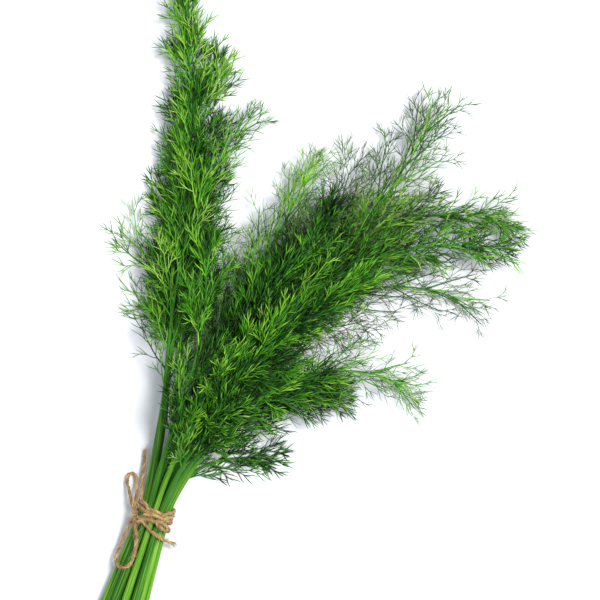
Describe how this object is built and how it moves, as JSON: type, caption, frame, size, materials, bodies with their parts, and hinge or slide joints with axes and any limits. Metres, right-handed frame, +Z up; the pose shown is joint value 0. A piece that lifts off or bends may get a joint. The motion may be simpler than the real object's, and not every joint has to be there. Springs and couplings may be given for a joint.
{
  "type": "dill bunch",
  "caption": "Cut bunch of fresh dill lying on its side, its bare stems tied with jute twine in a bow and its feathery fronds fanned out above the tie.",
  "frame": {"origin": "bottom centre of the bunch's box, on the surface it lies on", "axes": "+Y along the bunch, from the cut stem ends towards the furthest sprig; +X to the side that most sprigs fan out to; +Z up from the surface it lies on"},
  "size_m": [0.2415, 0.3819, 0.0545],
  "materials": {
    "dill_green": "fresh green plant, softly waxy stems and thread-like leaves",
    "jute_twine": "twisted natural jute, dry and hairy"
  },
  "bodies": {
    "root": {"leafy_stem_row1_1": "dill_green", "leafy_stem_row1_2": "dill_green", "leafy_stem_row1_3": "dill_green", "leafy_stem_row1_4": "dill_green", "leafy_stem_row2_1": "dill_green", "leafy_stem_row2_2": "dill_green", "leafy_stem_row2_3": "dill_green", "leafy_stem_row2_4": "dill_green", "leafy_stem_row2_5": "dill_green", "leafy_stem_row3_1": "dill_green", "leafy_stem_row3_2": "dill_green", "leafy_stem_row3_3": "dill_green", "leafy_stem_row3_4": "dill_green", "leafy_stem_row4_1": "dill_green", "leafy_stem_row4_2": "dill_green", "leafy_stem_row4_3": "dill_green", "jute_twine": "jute_twine"}
  },
  "joints": []
}
